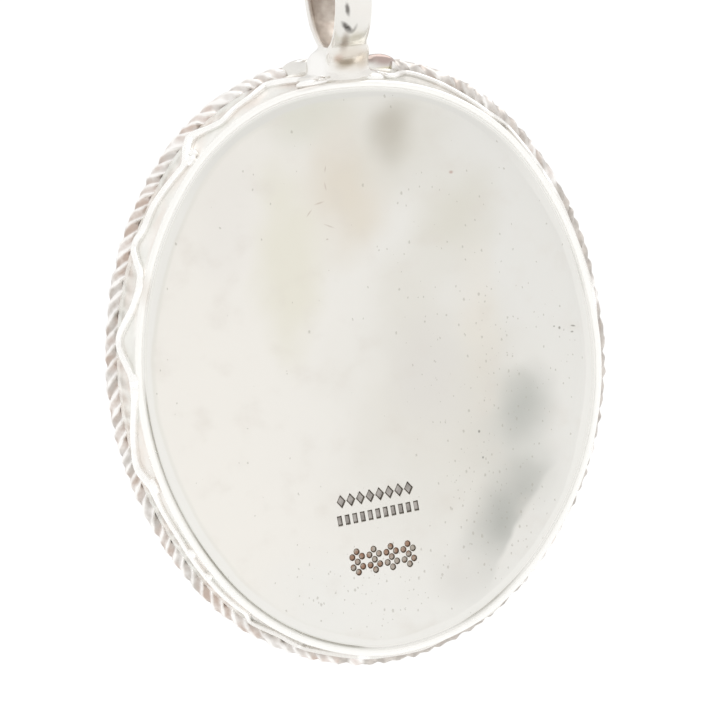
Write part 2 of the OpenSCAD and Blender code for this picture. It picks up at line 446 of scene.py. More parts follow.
def make_back_plate():
    piece = make_plate_blank()
    marks = make_punch_marks()
    face_outwards(marks)
    cut_with(piece, marks, use_self=True)

    def struck(co):
        out = outside_by(co.x, co.y)
        deep = co.z - plate_depth(out)
        return held(deep / PUNCH_DEEP) if out < SHOULDER_IN and deep < 0.3 else 0.0

    paint(piece, "struck", struck)
    paint(piece, "inset", lambda co: -outside_by(co.x, co.y))
    # painted shade along the crease inside the shoulder, stronger on some sides
    paint(piece, "crease_shade", lambda co: between(way_out(co.x, co.y), CREASE_SHADE))
    close_seam(piece)
    return piece


# Bezel wall with its rounded back edge

# How far the wall leans out: depth, offset from the oval
WALL_LEAN = [(0.55, 0.0), (1.0, 0.02), (3.45, 0.40)]
# Radius of the back edge
EDGE_R = 0.21

# Where painted shade lies under the rim, as it shows beyond the back edge: from, to, strength
SHADE_RUNS = [
    (143, 157, 0.75), (158, 172, 1.0), (176, 222, 0.95), (241, 250.5, 0.9), (253, 276, 0.85),
    (280.5, 297, 0.9), (300, 303, 0.6), (305, 318, 0.75), (322, 333, 0.6), (334, 345, 0.6),
]


# How strong the painted shade under the rim is at a place, by its angle round the oval
def shade_run(co):
    angle = way_out(co.x, co.y)
    reach = 0.0
    for first, last, strength in SHADE_RUNS:
        inside = min(angle - first, last - angle)
        reach = max(reach, strength * held(inside + 0.6))
    return reach


def make_bezel_wall():
    """The wall, its half-round back edge and the solder that fills the edge's inner corner."""
    profile = [(PLATE_OUT, 0.75), (PLATE_OUT, 0.235), (-0.5, 0.2), (-0.45, 0.168)]
    for i in range(14):
        turn = radians(200 + i * 14)
        profile.append((-EDGE_R + EDGE_R * cos(turn), EDGE_R + EDGE_R * sin(turn)))
    profile += [
        (-0.015, 0.42), (0.0, 0.55), (0.02, 1.0), (0.21, 2.22), (0.38, 3.35), (0.44, 3.55), (0.58, 3.74),
        (0.4, 3.8), (0.1, WALL_H), (-0.95, WALL_H), (-0.95, 0.75),
    ]
    piece = draw_profile("bezel_wall_ring", profile, closed=True)
    run_round(piece)
    face_outwards(piece)

    def seam(co):
        """The joint inside the back edge, dark where the solder has sunk."""
        inset = -outside_by(co.x, co.y)
        if co.z > 0.4 or inset < 0.41 or inset > 0.6:
            return 0.0
        return SEAM_LINE + (1 - SEAM_LINE) * between(way_out(co.x, co.y), SEAM_OPEN)

    paint(piece, "seam", seam)
    paint(piece, "shade_run", shade_run)
    close_seam(piece)
    return piece


# Wave wire

# It was bent by hand, so its turns are uneven: angle from the top, depth
WAVE_TURNS = [
    (7.5, 1.0), (12, 2.0), (16, 2.7), (20, 3.3), (26, 2.3), (30, 2.2), (36, 1.5), (40, 2.5), (43, 3.35),
    (44.5, 3.3), (46, 2.9), (48.5, 2.0), (50.5, 1.25), (53, 1.5), (57, 2.2), (60, 2.6), (64, 2.5),
    (67, 3.45), (68.5, 2.8), (71.5, 0.4), (74, 0.3), (77.5, 1.3), (82, 3.2), (84, 3.2), (85.5, 2.3),
    (88.5, 0.4), (91, 0.1), (94, 1.0), (99, 2.3), (103, 3.1), (104.5, 3.2), (107.5, 1.5), (109, 1.7),
    (111, 1.9), (117, 1.5), (123, 1.75), (131, 1.8), (136, 1.5), (139, 1.1), (143, 3.2), (150, 1.3),
    (160, 3.3), (170, 0.8), (181, 3.2), (190, 1.0), (200, 3.3), (212, 0.8), (221, 3.3), (229, 0.8),
    (235, 2.4), (241, 0.8), (246.5, 3.4), (251.5, 0.8), (258, 2.9), (265, 2.6), (272, 3.4), (279, 0.7),
    (291, 3.4), (298.5, 0.8), (301.5, 2.2), (304, 0.9), (312, 3.4), (320, 0.9), (328, 2.0), (334, 2.9),
    (339, 3.4), (343, 3.4), (347.5, 1.4), (352.5, 2.2),
]

# Steps of the wire's curve
WAVE_STEPS = 720

# Thickness of the wire along the oval: angle from the top, share of its radius
WAVE_GAUGE = [
    (0, 0.9), (18, 1.0), (30, 0.8), (40, 0.95), (44, 1.55), (48, 1.25), (52, 0.9), (66, 1.1), (88, 1.05),
    (101, 1.0), (105, 1.4), (107.5, 1.2), (111, 0.8), (140, 0.75), (175, 0.8), (230, 0.65), (360, 0.75),
]

# Drops of solder where the wire was fixed: angle, depth, half length along and across
SOLDER_DROPS = [
    (46.9, 1.35, 0.26, 0.62), (107.2, 1.1, 0.5, 0.55), (120.2, 0.7, 0.3, 0.45), (125.2, 1.0, 0.22, 0.6),
    (88.9, 0.2, 0.5, 0.25), (10.0, 0.75, 1.0, 0.55), (49.0, 0.85, 0.35, 0.4), (353.2, 0.95, 0.65, 0.45),
]


def melt(piece, grain, rounds):
    """Makes one skin of parts that overlap and softens it, as solder does."""
    piece.data.remesh_voxel_size = grain
    take(piece)
    bpy.ops.object.voxel_remesh()
    modify(piece, "SMOOTH", factor=0.5, iterations=rounds)


def make_solder_drop(angle, depth, along, across):
    piece = make_ball("solder_drop", 24, 14)
    stretch(piece, (0.3, along, across))
    place = oval_point(angle, between(depth, WALL_LEAN) + 0.1) + Vector((0, 0, depth))
    set_down(piece, place, radians(90 - angle))
    return piece


def make_wave_wire():
    first, last = WAVE_TURNS[0][0], WAVE_TURNS[-1][0]
    points, radii = [], []
    for i in range(WAVE_STEPS + 1):
        angle = first + (last - first) * i / WAVE_STEPS
        depth = sum(between(angle + ease, WAVE_TURNS) for ease in (-1, 0, 0, 1)) / 4
        place = oval_point(angle, between(depth, WALL_LEAN) + WAVE_R - WAVE_SUNK)
        points.append((place.x, place.y, depth))
        radii.append(between(angle, WAVE_GAUGE) * (1 + 0.1 * noise.noise(Vector((i * 0.04, 3.1, 0)))))
    drops = [make_solder_drop(*drop) for drop in SOLDER_DROPS]
    piece = join("wave_wire_zigzag", [wire("wave_strand", points, radii, WAVE_R + 0.015)] + drops)
    melt(piece, 0.055, 7)
    paint(piece, "shade_run", shade_run)
    return piece


# Toothed rim: a square wire, twisted so that its corners stand as teeth

# Steps of the wire's curve for each tooth
TOOTH_STEPS = 8

# How much tarnish each point of the section holds, corner by corner: the flat sides hold the most
POCKET = [0.0, 0.6, 0.75, 0.6, 0.0, 0.85, 1.0, 0.85]

# Where the rim is browner than elsewhere: angle from the top, share
LEFT_SIDE = [(0, 0), (40, 0), (75, 1), (122, 0.9), (150, 0.6), (175, 0), (360, 0)]


def make_square():
    """The twisted wire's own section: rounded corners, and sides that are flat and full by turns."""
    rest_hands()
    bpy.ops.mesh.primitive_circle_add(vertices=16, radius=TOOTH_R, fill_type="NOTHING")
    piece = name_it("tooth_section")
    reach = [1.0, 0.84, 0.7, 0.84, 1.0, 0.93, 0.87, 0.93]
    for i, vertex in enumerate(piece.data.vertices):
        vertex.co *= reach[i % 8]
    take(piece)
    bpy.ops.object.convert(target="CURVE")
    return bpy.context.object


def make_toothed_rim():
    section = make_square()
    first = between(14, run_rows(TOOTH_OUT))
    last = between(346, run_rows(TOOTH_OUT))
    count = round((last - first) / TOOTH_PITCH * TOOTH_STEPS)
    points, tilts, radii = [], [], []
    for i in range(count + 1):
        run = first + (last - first) * i / count
        place = oval_point(angle_at(run, TOOTH_OUT), TOOTH_OUT)
        points.append((place.x, place.y, TOOTH_DEPTH))
        uneven = 0.7 * noise.noise(Vector((run * 0.35, 0.4, 0)))
        tilts.append(radians(90) * (run / TOOTH_PITCH + uneven))
        radii.append(1 + 0.09 * noise.noise(Vector((run * 1.1, 7.7, 0))))
    piece = wire("toothed_rim_wire", points, radii, tilts=tilts, square=section)
    bpy.data.objects.remove(section)
    face_outwards(piece)

    def back(co):
        """Painted shade low down: by the wall on the left, and all over the back side elsewhere."""
        inwards = (TOOTH_OUT + 0.35 - outside_by(co.x, co.y)) / 0.35
        if way_out(co.x, co.y) > 170:
            inwards = 1.0
        low = (TOOTH_DEPTH + 0.2 - co.z) / 0.3
        return shade_run(co) * held(inwards) * held(low)

    paint(piece, "shade_run", back)
    paint(piece, "left_side", lambda co: between(way_out(co.x, co.y), LEFT_SIDE))
    for vertex in piece.data.vertices:
        vertex.co += 0.06 * noise.noise_vector(vertex.co * 2.1)
    store(piece, "pocket", [POCKET[i % 8] for i in range(len(piece.data.vertices))])
    return piece


# Relief front: a beaded border, a dome, a rosette and a wreath

BORDER_W = 1.3
BORDER_T = 0.7
DOME_R = 12.8125
DOME_IN = -7.5
DOME_TOP = FRONT + 0.45 + 1.6
BACK_IN = -3.2
BACK_UP = FRONT + 0.8

# Where the ornament lies on it: offset or radius, how many, and the step between leaves
BORDER_IN = -0.65
BORDER_BEADS = 72
CROWN_R = 5.55
CROWN_BEADS = 20
END_BEAD_UP = 6.57
PETALS = 8
WREATH_IN = -4.1
WREATH_PAIRS = 18
WREATH_STEP = 1.67


def dome_depth(out):
    return DOME_TOP - DOME_R + sqrt(DOME_R ** 2 - max(0.0, out - DOME_IN) ** 2)


def make_dome():
    steps = 12
    outs = [DOME_IN + (-BORDER_W - DOME_IN) * i / steps for i in range(steps + 1)]
    profile = [(out, dome_depth(out)) for out in outs]
    profile += [
        (-BORDER_W, FRONT + BORDER_T - 0.05), (-BORDER_W + 0.05, FRONT + BORDER_T),
        (-0.08, FRONT + BORDER_T), (0.0, FRONT + BORDER_T - 0.08), (0.0, FRONT),
        (BACK_IN, FRONT), (BACK_IN, BACK_UP),
    ]
    piece = draw_profile("relief_plaque_dome", profile)
    run_round(piece)
    fill_loop(piece, DOME_IN, DOME_TOP)
    fill_loop(piece, BACK_IN, BACK_UP)
    face_outwards(piece)
    return piece


def make_bead(name, radius):
    """A cast bead, a little flattened, with its lower half sunk."""
    piece = make_ball(name, 14, 8, radius)
    stretch(piece, (1, 1, 0.92))
    return piece


def make_leaf(name, length, width, height):
    """A pointed leaf along x with a sunk midrib, drawn out of a sphere."""
    piece = make_ball(name, 16, 12, rotation=(0, radians(90), 0))
    fix_place(piece)
    for vertex in piece.data.vertices:
        taper = 1 - abs(vertex.co.x) ** 2.4
        rib = exp(-(vertex.co.y / 0.22) ** 2) * max(0.0, vertex.co.z) * 0.45
        vertex.co = (
            vertex.co.x * length / 2 + length / 2,
            vertex.co.y * width / 2 * (0.55 + 0.45 * taper),
            (vertex.co.z - rib) * height * (0.5 + 0.5 * taper),
        )
    return piece


def lay(piece, angle, out, turn=0.0, lift=0.0):
    """Lays an ornament on the dome, turned about the way out."""
    place = oval_point(angle, out)
    slope = asin(max(0.0, out - DOME_IN) / DOME_R) if out < -BORDER_W else 0.0
    depth = dome_depth(out) if out < -BORDER_W else FRONT + BORDER_T
    piece.matrix_world = (
        Matrix.Translation((place.x, place.y, depth + lift))
        @ Matrix.Rotation(radians(90 - angle), 4, "Z")
        @ Matrix.Rotation(slope, 4, "Y")
        @ Matrix.Rotation(radians(turn), 4, "Z")
    )
    fix_place(piece)


def set_out(one, radius, turn, facing=0.0):
    """Sets an ornament on the dome's flat top, on a ring about its middle."""
    set_down(one, (radius * cos(turn), radius * sin(turn), DOME_TOP), facing)
    return one


def make_beads():
    """The border's beads, the crown of small ones and a bead beyond each end of the crown."""
    bead = make_bead("bead", 0.42)
    small = make_bead("small_bead", 0.34)
    beads = []
    length = run_rows(BORDER_IN)[-1][1]
    for i in range(BORDER_BEADS):
        beads.append(copy_of(bead, "border_bead"))
        lay(beads[-1], angle_at(length * (i + 0.5) / BORDER_BEADS, BORDER_IN), BORDER_IN)
    for i in range(CROWN_BEADS):
        turn = radians(360 * (i + 0.5) / CROWN_BEADS)
        beads.append(set_out(copy_of(small, "crown_bead"), CROWN_R, turn))
    for side in (-1, 1):
        beads.append(copy_of(bead, "end_bead"))
        set_down(beads[-1], (0, side * END_BEAD_UP, DOME_TOP))
    bpy.data.objects.remove(bead)
    bpy.data.objects.remove(small)
    return join("relief_beads", beads)


def make_rosette():
    petal = make_leaf("petal", 3.3, 1.5, 0.6)
    parts = []
    for i in range(PETALS):
        turn = radians(360 / PETALS * i)
        parts.append(set_out(copy_of(petal, "rosette_petal"), 1.6, turn, turn))
    bpy.data.objects.remove(petal)
    boss = make_ball("rosette_boss", 32, 16, 1.2, location=(0, 0, DOME_TOP))
    stretch(boss, (1, 1, 0.8))
    return join("relief_rosette", parts + [boss])


def make_wreath():
    """Pairs of leaves up both sides from a tie at the bottom."""
    leaf = make_leaf("leaf", 2.5, 0.95, 0.32)
    tie = make_bead("wreath_tie", 0.62)
    lay(tie, 180, WREATH_IN)
    leaves = [tie]
    for side in (-1, 1):
        for i in range(WREATH_PAIRS):
            angle = 180 - angle_at(WREATH_STEP * (i + 0.3), WREATH_IN)
            for lean in (-1, 1):
                leaves.append(copy_of(leaf, "wreath_leaf"))
                lay(leaves[-1], side * angle, WREATH_IN + 0.12 * lean, side * (90 - lean * 32), 0.02)
    bpy.data.objects.remove(leaf)
    return join("relief_wreath", leaves)


# Bail: a wide ring, its tapered foot and the pad behind it, soldered into one

RING_UP = 22.3
RING_DEPTH = 1.69
RING_HALF = 1.1
HOLE_R = 3.5
RING_ASKEW = radians(3.4)
RING_ASIDE = 0.17
PAD_T = 0.95
PAD_HALF = 2.95


def make_ring():
    """The wide ring, which was soldered on a little askew."""
    rest_hands()
    side = [
        (RING_HALF - 0.3, HOLE_R), (RING_HALF - 0.12, HOLE_R + 0.05), (RING_HALF - 0.03, HOLE_R + 0.15),
        (RING_HALF, HOLE_R + 0.28), (RING_HALF - 0.05, HOLE_R + 0.4), (RING_HALF - 0.2, HOLE_R + 0.49),
        (0.6, HOLE_R + 0.55),
    ]
    section = side + [(0.0, HOLE_R + 0.6)] + [(-across, radius) for across, radius in reversed(side)]
    bpy.ops.mesh.primitive_circle_add(vertices=len(section), radius=1, fill_type="NOTHING")
    piece = name_it("bail_ring")
    for vertex, (across, radius) in zip(piece.data.vertices, section):
        vertex.co = (across, RING_UP + radius, RING_DEPTH)
    open_up(piece)
    bpy.ops.mesh.spin(steps=144, angle=radians(360), center=(0, RING_UP, RING_DEPTH), axis=(1, 0, 0))
    bpy.ops.mesh.select_all(action="SELECT")
    bpy.ops.mesh.remove_doubles(threshold=0.001)
    face_outwards(piece)
    middle = Vector((0, RING_UP, RING_DEPTH))
    piece.matrix_world = (
        Matrix.Translation(middle + Vector((RING_ASIDE, 0, 0)))
        @ Matrix.Rotation(RING_ASKEW, 4, "Y")
        @ Matrix.Translation(-middle)
    )
    fix_place(piece)
    return piece


def make_solder(name, middle, reach, lean=0.0):
    """A rounded mass of solder that ran between the bail's parts, leaning back by some degrees."""
    piece = make_ball(name, 48, 32, location=middle)
    piece.rotation_euler = (radians(-lean), 0, 0)
    stretch(piece, reach)
    return piece


def make_foot():
    """The foot: a block drawn out narrower towards the ring, and leaning back to meet its band."""
    rest_hands()
    bpy.ops.mesh.primitive_cube_add(size=1, location=(0, 17.0, 2.2))
    piece = name_it("bail_foot")
    stretch(piece, (2.5, 1.2, 3.1))
    open_up(piece, False)
    pick(piece, lambda co: co.y > 17.3)
    bpy.ops.transform.translate(value=(0, -0.2, 0))
    for rise, lean_back in ((0.45, -0.22), (0.45, -0.28), (0.4, -0.2)):
        bpy.ops.mesh.extrude_region_move(TRANSFORM_OT_translate={"value": (0, rise, lean_back)})
        bpy.ops.transform.resize(value=(0.96, 1, 0.92), center_override=(0.05, 18.0, 0.2))
    face_outwards(piece)
    return piece


def make_pad():
    """The pad behind the foot: the upper slice of a round disc with softened rims."""
    rest_hands()
    bpy.ops.mesh.primitive_cylinder_add(
        vertices=96, radius=4.5, depth=PAD_T, location=(0, 13.65, FRONT + PAD_T / 2))
    piece = name_it("bail_pad")
    fix_place(piece)
    open_up(piece)
    cuts = [((PAD_HALF, 0, 0), (1, 0, 0)), ((-PAD_HALF, 0, 0), (-1, 0, 0)), ((0, 15, 0), (0, -1, 0))]
    for place, way in cuts:
        bpy.ops.mesh.select_all(action="SELECT")
        bpy.ops.mesh.bisect(plane_co=place, plane_no=way, use_fill=True, clear_outer=True)
    face_outwards(piece)
    return piece


def make_bed():
    """The room that the wall and the plaque take, as a cutter for the bail's underside."""
    profile = [
        (-3.0, -1.0), (-0.03, -1.0), (-0.03, 0.6), (0.0, 1.0), (0.38, 3.45), (0.38, FRONT),
        (-0.02, FRONT), (-0.02, 6.0), (-3.0, 6.0),
    ]
    piece = draw_profile("bail_bed", profile, closed=True)
    run_round(piece)
    face_outwards(piece)
    return piece


def clean_cut(piece):
    """Welds the slivers that a cut leaves and closes what they leave open."""
    open_up(piece)
    bpy.ops.mesh.remove_doubles(threshold=0.006)
    bpy.ops.mesh.quads_convert_to_tris()
    bpy.ops.mesh.dissolve_degenerate(threshold=0.004)
    bpy.ops.mesh.delete_loose()
    bpy.ops.mesh.select_all(action="SELECT")
    bpy.ops.mesh.fill_holes(sides=12)
    bpy.ops.mesh.select_all(action="SELECT")
    bpy.ops.mesh.quads_convert_to_tris()
    bpy.ops.mesh.normals_make_consistent(inside=False)
    rest_hands()


def make_bail():
    solder = [
        make_solder("left_of_foot", (1.1, 17.4, 2.4), (1.1, 1.25, 1.65)),
        make_solder("behind_foot", (0.05, 18.35, 0.42), (1.35, 1.3, 0.42), 44),
        make_solder("left_puddle", (1.5, 16.9, 1.6), (1.5, 0.35, 1.2)),
        make_solder("right_puddle", (-1.0, 17.0, 1.8), (1.0, 0.3, 1.3)),
        make_solder("left_lobe", (2.05, 17.25, 4.2), (1.45, 0.8, 0.48)),
        make_solder("right_lobe", (-2.3, 17.3, 4.2), (1.3, 0.72, 0.45)),
    ]
    piece = join("bail_soldered", [make_ring(), make_foot(), make_pad()] + solder)
    melt(piece, 0.06, 14)
    foot = piece.vertex_groups.new(name="foot")
    for vertex in piece.data.vertices:
        foot.add([vertex.index], held((19.9 - vertex.co.y) / 1.2), "REPLACE")
    modify(piece, "SMOOTH", factor=0.5, iterations=80, vertex_group="foot")
    bed = make_bed()
    shape_by_hand(bed)
    cut_with(piece, bed)
    clean_cut(piece)

    def in_hole(co):
        """The hole's own face, as a share that fades towards its rims and the outside."""
        radius = hypot(co.y - RING_UP, co.z - RING_DEPTH)
        across = (co.x - RING_ASIDE) * cos(RING_ASKEW) - (co.z - RING_DEPTH) * sin(RING_ASKEW)
        return held(min((HOLE_R + 0.1 - radius) / 0.08, (1.0 - abs(across)) / 0.1))

    paint(piece, "in_hole", in_hole)
    return piece


# Materials: every pattern is laid by the place on the object, in metres

# How deep a bump reads, for polished and for rougher silver
FINE = 0.00006
COARSE = 0.00008


def feed(tree, socket, value):
    """Links a socket to another one's value, or gives it a plain value."""
    if isinstance(value, bpy.types.NodeSocket):
        tree.links.new(value, socket)
    else:
        socket.default_value = value


def add_node(tree, kind, inputs=None, **settings):
    node = tree.nodes.new(kind)
    for key, value in settings.items():
        setattr(node, key, value)
    for key, value in (inputs or {}).items():
        feed(tree, node.inputs[key], value)
    return node


def calc(tree, how, first, second):
    """A maths node on two numbers or sockets."""
    return add_node(tree, "ShaderNodeMath", {0: first, 1: second}, operation=how).outputs[0]


def times(tree, first, second):
    return calc(tree, "MULTIPLY", first, second)


def vector(tree, how, first, second):
    return add_node(tree, "ShaderNodeVectorMath", {0: first, 1: second}, operation=how).outputs[0]


def where(tree):
    """The place on the object."""
    return add_node(tree, "ShaderNodeTexCoord").outputs["Object"]


def split(tree, place):
    return add_node(tree, "ShaderNodeSeparateXYZ", {"Vector": place}).outputs


def clouds(tree, place, scale, detail):
    """The outputs of soft noise: first a number about 0.5, then a colour."""
    return add_node(
        tree, "ShaderNodeTexNoise", {"Vector": place, "Scale": scale, "Detail": detail}).outputs


def turn_about_depth(tree, place, angle):
    return add_node(tree, "ShaderNodeVectorRotate", {
        "Vector": place, "Axis": (0, 1, 0), "Angle": angle}).outputs[0]


def attribute(tree, name):
    """A number that was painted on the piece."""
    return add_node(tree, "ShaderNodeAttribute", attribute_name=name).outputs["Fac"]


def mix_colour(tree, amount, first, second):
    return add_node(tree, "ShaderNodeMix", {0: amount, 6: first, 7: second}, data_type="RGBA").outputs[2]


def spread(tree, value, low, high, to_low=0.0, to_high=1.0):
    """Eases a value from one range to another, held at both ends."""
    return add_node(tree, "ShaderNodeMapRange", {
        "Value": value, "From Min": low, "From Max": high, "To Min": to_low, "To Max": to_high,
    }, interpolation_type="SMOOTHSTEP").outputs["Result"]


def new_group(name, inputs, outputs):
    """A node group. The value that a socket starts with says if it is a number, a vector or a colour."""
    kinds = {1: "NodeSocketFloat", 3: "NodeSocketVector", 4: "NodeSocketColor"}
    tree = bpy.data.node_groups.new(name, "ShaderNodeTree")
    for in_out, sockets in (("INPUT", inputs), ("OUTPUT", outputs)):
        for label, value in sockets.items():
            kind = kinds[len(value) if isinstance(value, tuple) else 1]
            socket = tree.interface.new_socket(name=label, in_out=in_out, socket_type=kind)
            socket.default_value = value
    return tree, tree.nodes.new("NodeGroupInput").outputs, tree.nodes.new("NodeGroupOutput").inputs


def make_hand_polish():
    """Fine scratches and a drifting gloss, as on silver that was polished and worn by hand."""
    tree, given, out = new_group(
        "hand_polish", {"Gloss": 0.2, "Drift": 0.08, "Scratches": 1.0}, {"Roughness": 0.0, "Height": 0.0})
    place = where(tree)
    drift = clouds(tree, place, 260.0, 3.0)[0]
    gloss = calc(
        tree, "ADD", given["Gloss"], times(tree, given["Drift"], calc(tree, "SUBTRACT", drift, 0.5)))
    strokes = 0.0
    for turn, seed in ((18, 0.0), (-52, 0.4), (80, 0.9)):
        lane = add_node(tree, "ShaderNodeMapping", {
            "Vector": turn_about_depth(tree, place, radians(turn)),
            "Location": (seed, 0, seed), "Scale": (7000.0, 900.0, 260.0)}).outputs[0]
        line = spread(tree, clouds(tree, lane, 1.0, 1.0)[0], 0.66, 0.76)
        strokes = calc(tree, "MAXIMUM", strokes, line)
    strokes = times(tree, strokes, given["Scratches"])
    feed(tree, out["Roughness"], calc(tree, "ADD", gloss, times(tree, strokes, 0.06)))
    feed(tree, out["Height"], calc(tree, "SUBTRACT", times(tree, drift, 0.5), times(tree, strokes, 0.12)))
    return tree


def make_soft_spot():
    """A soft patch about a place, for tarnish, pits, painted shade and painted reflections: its reach
    each way, its turn, how firm its edge is, where one side of it ends sharply, and how far and how
    finely its outline strays."""
    tree, given, out = new_group("soft_spot", {
        "Centre": (0, 0, 0), "Reach": (1, 1, 1), "Turn": 0.0, "Firm": 0.0, "Cut": 9.0, "Wobble": 0.0,
        "Grain": 3800.0,
    }, {"Mask": 0.0})
    place = where(tree)
    turned = turn_about_depth(tree, vector(tree, "SUBTRACT", place, given["Centre"]), given["Turn"])
    ragged = vector(tree, "SUBTRACT", clouds(tree, place, given["Grain"], 2.0)["Color"], (0.5, 0.5, 0.5))
    strayed = add_node(
        tree, "ShaderNodeVectorMath", {0: ragged, "Scale": given["Wobble"]}, operation="SCALE").outputs[0]
    scaled = vector(tree, "ADD", vector(tree, "DIVIDE", turned, given["Reach"]), strayed)
    far = add_node(tree, "ShaderNodeVectorMath", {0: scaled}, operation="LENGTH").outputs["Value"]
    mask = spread(tree, far, given["Firm"], 1.0, 1.0, 0.0)
    past_cut = calc(tree, "SUBTRACT", split(tree, scaled)["X"], given["Cut"])
    feed(tree, out["Mask"], times(tree, mask, spread(tree, past_cut, 0.0, 0.16, 1.0, 0.0)))
    return tree


def make_tarnish():
    """Brown-grey tarnish that gathers in patches."""
    tree, given, out = new_group("tarnish", {
        "Silver": (0.9, 0.9, 0.9, 1), "Brown": (0.5, 0.4, 0.35, 1), "Grey": (0.5, 0.5, 0.5, 1),
        "Amount": 0.5, "Patch Size": 900.0, "Patchy": 1.1,
    }, {"Color": (0, 0, 0, 1), "Mask": 0.0})
    place = where(tree)
    patch = calc(tree, "SUBTRACT", clouds(tree, place, given["Patch Size"], 4.0)[0], 0.5)
    amount = calc(tree, "ADD", given["Amount"], times(tree, patch, given["Patchy"]))
    mask = add_node(tree, "ShaderNodeClamp", {"Value": amount}).outputs[0]
    hue = spread(tree, clouds(tree, place, 420.0, 2.0)[0], 0.4, 0.6)
    stain = mix_colour(tree, hue, given["Brown"], given["Grey"])
    feed(tree, out["Color"], mix_colour(tree, mask, given["Silver"], stain))
    feed(tree, out["Mask"], mask)
    return tree


def use(tree, group, **inputs):
    """Puts a group into a tree. An underscore stands for the space in a socket's name."""
    node = add_node(tree, "ShaderNodeGroup", node_tree=group)
    for label, value in inputs.items():
        feed(tree, node.inputs[label.replace("_", " ")], value)
    return node.outputs


def new_silver(name, bare=1.0):
    """A metal material with its node tree and shader. bare is the share of the metal that shows through
    the dull skin that age left on it."""
    material = bpy.data.materials.new(name)
    material.use_nodes = True
    tree = material.node_tree
    shader = tree.nodes["Principled BSDF"]
    shader.inputs["Metallic"].default_value = bare
    return material, tree, shader


def lay_finish(tree, shader, colour, roughness, height, strength, deep=FINE):
    """Joins a colour, a roughness and a height to the silver's shader."""
    feed(tree, shader.inputs["Base Color"], colour)
    feed(tree, shader.inputs["Roughness"], roughness)
    bump = add_node(tree, "ShaderNodeBump", {"Height": height, "Strength": strength, "Distance": deep})
    feed(tree, shader.inputs["Normal"], bump.outputs[0])


def tone(red, green, blue):
    """A screen tone of 0 to 255 as a linear colour."""
    linear = []
    for value in (red, green, blue):
        v = value / 255
        linear.append(v / 12.92 if v <= 0.04045 else ((v + 0.055) / 1.055) ** 2.4)
    return (*linear, 1.0)


polish = make_hand_polish()
soft_spot = make_soft_spot()
tarnish = make_tarnish()


def at(x, y, depth=0.0):
    """World place of a place on the bench."""
    return (HANG[0] + x * MM, HANG[1] - depth * MM, HANG[2] + y * MM)


def lay_stains_and_shade(tree, colour, patch_rows, wobble=0.0, grain=3800.0):
    """Lays patches over a colour: tarnish, painted shade and painted reflections. Each row: bench place,
    reach in mm, turn, firmness, cut, shade and strength."""
    for centre, reach, turn, firm, sharp, shade, strength in patch_rows:
        mask = use(
            tree, soft_spot, Centre=at(*centre), Reach=tuple(length * MM for length in reach),
            Turn=radians(turn), Firm=firm, Cut=sharp, Wobble=wobble, Grain=grain)["Mask"]
        colour = mix_colour(tree, times(tree, mask, strength), colour, tone(*shade))
    return colour


# A cut that no patch reaches, and a reach right through the plate
SOFT = 9.0
DEEP = 12.0


def on_plate(x, y, wide, high, shade, strength, turn=0, firm=0.1, cut=SOFT):
    """The row of a patch that goes right through the back plate."""
    return (x, y, 0), (wide, DEEP, high), turn, firm, cut, shade, strength


# Patches on the back plate, partly tarnish and partly painted reflections of the surroundings, the broad
# and soft ones first
PLATE_STAINS_AND_REFLECTIONS = [on_plate(*row) for row in (
    (2.5, -14.2, 9.5, 4.6, (232, 231, 227), 0.9),
    (-3.8, -4.0, 9.0, 10.0, (221, 218, 210), 0.65),
    (-6.9, -3.4, 3.6, 9.0, (214, 211, 203), 0.6),
    (-2.6, 3.4, 3.4, 5.0, (218, 215, 206), 0.5),
    (7.8, 8.8, 3.2, 6.0, (230, 227, 222), 0.6),
    (4.4, 7.0, 2.6, 8.6, (226, 223, 210), 0.85, 4, 0.25),
    (2.6, 15.0, 4.4, 2.4, (219, 218, 207), 0.8),
    (0.9, 10.8, 3.3, 5.4, (221, 214, 201), 0.9, 0, 0.15),
    (-5.3, 8.3, 3.8, 4.6, (215, 212, 201), 0.75, 20),
    (-3.1, -0.5, 3.3, 5.2, (218, 215, 210), 0.65),
    (-6.4, 2.2, 2.0, 6.0, (226, 221, 211), 0.6),
    (-2.6, 13.2, 3.6, 4.4, (213, 210, 200), 0.7, 15, 0.0),
    (-2.2, 13.9, 1.9, 2.7, (190, 185, 174), 0.75, 15, 0.0),
    (-8.6, -5.2, 3.2, 5.8, (206, 206, 201), 0.75),
    (-8.9, -3.1, 2.6, 3.2, (186, 187, 182), 0.85, 0, 0.0),
    (-7.2, -9.75, 2.9, 6.0, (177, 178, 173), 0.92, 212, 0.05, 0.28),
    (-4.8, -12.6, 2.6, 2.2, (216, 214, 209), 0.7, 0, 0.0),
)]
# Strokes and specks of tarnish that can be told apart one by one
PLATE_FLECKS = [on_plate(*row) for row in (
    (1.99, 11.83, 0.05, 0.3, (196, 184, 174), 0.7, 12, 0.2),
    (2.06, 10.84, 0.06, 0.34, (200, 188, 178), 0.7, -8, 0.2),
    (2.48, 9.89, 0.42, 0.07, (198, 186, 174), 0.7, -14, 0.2),
    (3.11, 9.36, 0.06, 0.34, (198, 188, 176), 0.7, 40, 0.2),
    (1.99, 8.51, 0.45, 0.06, (200, 190, 180), 0.65, 24, 0.2),
    (2.16, 7.76, 0.1, 0.07, (190, 180, 170), 0.7, 0, 0.2),
    (-5.43, 11.04, 0.2, 0.14, (188, 160, 150), 0.8),
    (-11.33, 1.38, 0.1, 0.12, (150, 148, 140), 0.85, 0, 0.3),
    (-11.0, 1.5, 0.08, 0.07, (160, 158, 150), 0.8, 0, 0.3),
    (-12.17, 1.42, 0.2, 0.07, (150, 148, 140), 0.85, 10, 0.3),
    (-12.09, 1.07, 0.13, 0.07, (158, 156, 148), 0.85, 0, 0.3),
    (-6.07, -4.25, 0.09, 0.12, (140, 138, 130), 0.85, 0, 0.3),
    (-6.2, -5.8, 0.08, 0.1, (145, 143, 136), 0.85, 0, 0.3),
)]
